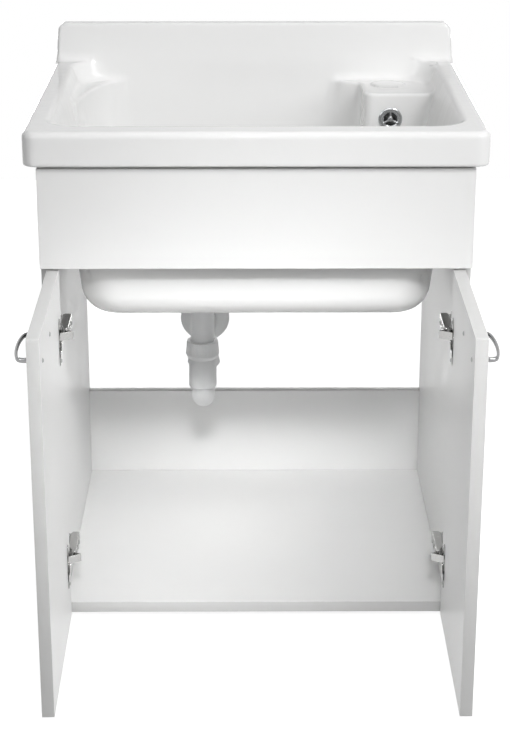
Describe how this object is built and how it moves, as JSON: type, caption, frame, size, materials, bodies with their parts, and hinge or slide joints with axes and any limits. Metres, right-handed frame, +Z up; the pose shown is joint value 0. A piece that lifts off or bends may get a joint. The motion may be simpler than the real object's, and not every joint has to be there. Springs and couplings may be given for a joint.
{
  "type": "sink base cabinet",
  "caption": "White laminated base cabinet under a ceramic laundry sink, with hinged doors, a fixed fascia, an open back and a plastic trap.",
  "frame": {"origin": "on the floor, under the middle of the whole unit with its doors open", "axes": "+X to the right as seen from in front of the doors, +Y from the doors to the back, +Z up"},
  "size_m": [0.6, 0.776, 0.76],
  "materials": {
    "white_laminate": "white melamine-faced chipboard, satin, with thin edge banding",
    "white_ceramic": "gloss white glaze",
    "chrome_plate": "polished",
    "white_plastic": "moulded polypropylene, satin",
    "black_rubber": "matt",
    "grey_plastic": "matt",
    "hinge_steel": "nickel plated, pressed",
    "screw_steel": "zinc plated"
  },
  "bodies": {
    "cabinet": {"side_panel_left": "white_laminate", "side_panel_right": "white_laminate", "bottom_panel": "white_laminate", "low_back_panel": "white_laminate", "rear_top_rail": "white_laminate", "fascia_panel": "white_laminate", "ceramic_sink": "white_ceramic", "overflow_rosette": "chrome_plate", "waste_strainer": "chrome_plate", "waste_nut": "white_plastic", "tailpiece": "white_plastic", "trap_nut_front": "white_plastic", "trap_bend": "white_plastic", "outlet_pipe": "white_plastic", "trap_nut_rear": "white_plastic", "wall_rosette": "white_plastic", "waste_gasket": "black_rubber", "foot_left_front": "grey_plastic", "foot_left_rear": "grey_plastic", "foot_right_front": "grey_plastic", "foot_right_rear": "grey_plastic", "hinge_plate_left_upper": "hinge_steel", "hinge_arm_left_upper": "hinge_steel", "arm_screw_left_upper": "screw_steel", "hinge_plate_left_lower": "hinge_steel", "hinge_arm_left_lower": "hinge_steel", "arm_screw_left_lower": "screw_steel", "hinge_plate_right_upper": "hinge_steel", "hinge_arm_right_upper": "hinge_steel", "arm_screw_right_upper": "screw_steel", "hinge_plate_right_lower": "hinge_steel", "hinge_arm_right_lower": "hinge_steel", "arm_screw_right_lower": "screw_steel"},
    "door_left": {"door_left": "white_laminate", "handle_left": "chrome_plate", "handle_screw_left_outer": "screw_steel", "handle_screw_left_inner": "screw_steel", "hinge_cup_left_upper": "hinge_steel", "cup_screw_left_upper_low": "screw_steel", "cup_screw_left_upper_high": "screw_steel", "hinge_cup_left_lower": "hinge_steel", "cup_screw_left_lower_low": "screw_steel", "cup_screw_left_lower_high": "screw_steel"},
    "door_right": {"door_right": "white_laminate", "handle_right": "chrome_plate", "handle_screw_right_outer": "screw_steel", "handle_screw_right_inner": "screw_steel", "hinge_cup_right_upper": "hinge_steel", "cup_screw_right_upper_low": "screw_steel", "cup_screw_right_upper_high": "screw_steel", "hinge_cup_right_lower": "hinge_steel", "cup_screw_right_lower_low": "screw_steel", "cup_screw_right_lower_high": "screw_steel"},
    "links_left": {"hinge_link_left_upper": "hinge_steel", "hinge_link_left_lower": "hinge_steel"},
    "links_right": {"hinge_link_right_upper": "hinge_steel", "hinge_link_right_lower": "hinge_steel"}
  },
  "joints": [
    {"name": "door_left_hinge", "type": "hinge", "parent": "cabinet", "child": "door_left", "pos_m": [-0.272, -0.11749, 0.265], "axis": [0, 0, 1], "range_deg": [-4.5, 89.5]},
    {"name": "links_left_turn", "type": "hinge", "parent": "cabinet", "child": "links_left", "pos_m": [-0.253, -0.10324, 0.265], "axis": [0, 0, 1], "range_deg": [-30.2, 1.9]},
    {"name": "door_right_hinge", "type": "hinge", "parent": "cabinet", "child": "door_right", "pos_m": [0.272, -0.11749, 0.265], "axis": [0, 0, -1], "range_deg": [-4.5, 89.5]},
    {"name": "links_right_turn", "type": "hinge", "parent": "cabinet", "child": "links_right", "pos_m": [0.253, -0.10324, 0.265], "axis": [0, 0, -1], "range_deg": [-30.2, 1.9]}
  ],
  "couplings": [
    {"joint": "links_left_turn", "follows": "door_left_hinge", "ratio": -0.33181},
    {"joint": "links_right_turn", "follows": "door_right_hinge", "ratio": -0.33181}
  ]
}
